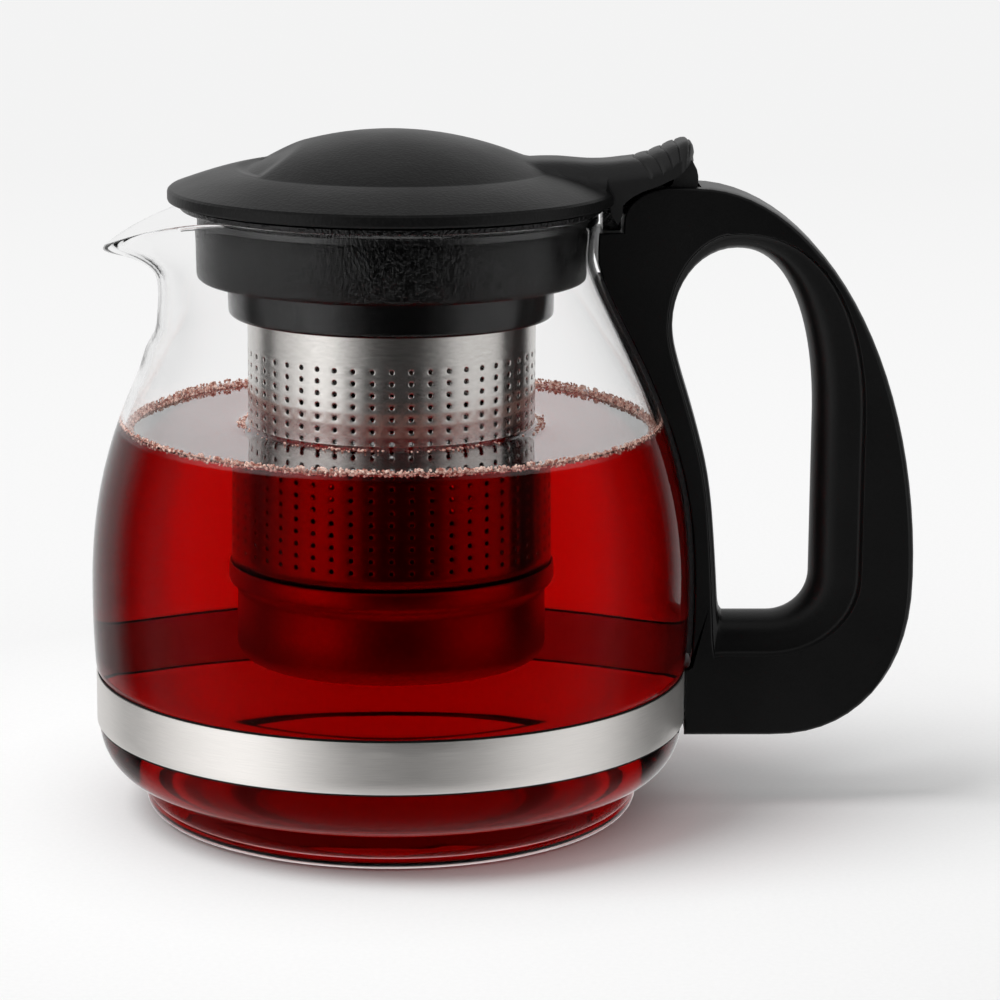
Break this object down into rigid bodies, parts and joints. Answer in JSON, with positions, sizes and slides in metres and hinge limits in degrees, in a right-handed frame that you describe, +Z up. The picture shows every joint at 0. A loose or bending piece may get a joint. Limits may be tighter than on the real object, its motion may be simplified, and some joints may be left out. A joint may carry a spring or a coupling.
{
  "type": "glass teapot",
  "caption": "Round glass teapot with a steel belly band, black side handle, drop-in steel infuser basket and a flip lid with a thumb lever.",
  "frame": {"origin": "centre of the glass foot's face, on the jug's axis", "axes": "+Z up along the jug's axis, +X towards the handle, -X towards the spout, +Y across the handle"},
  "size_m": [0.1792, 0.1304, 0.1483],
  "materials": {
    "glass": "clear borosilicate, polished",
    "steel": "brushed along the band",
    "bright_steel": "turned and polished",
    "black_plastic": "fine matt grain",
    "ring_plastic": "smooth, low gloss",
    "silicone": "soft and matt"
  },
  "bodies": {
    "pot": {"glass_jug": "glass", "belly_band": "steel", "handle": "black_plastic", "handle_cushion": "silicone", "clamp_screw": "bright_steel", "clamp_nut": "bright_steel"},
    "infuser": {"infuser_collar": "black_plastic", "basket_holder": "ring_plastic", "basket_sleeve": "steel", "basket_cup": "steel", "hinge_pin": "bright_steel"},
    "lid": {"lid_cover": "black_plastic", "lid_liner": "black_plastic"}
  },
  "joints": [
    {"name": "infuser_lift", "type": "slide", "parent": "pot", "child": "infuser", "axis": [0, 0, 1], "range_m": [0, 0.13]},
    {"name": "lid_flip", "type": "hinge", "parent": "infuser", "child": "lid", "pos_m": [0.0585, 0, 0.1385], "axis": [0, 1, 0], "range_deg": [0, 40]}
  ]
}
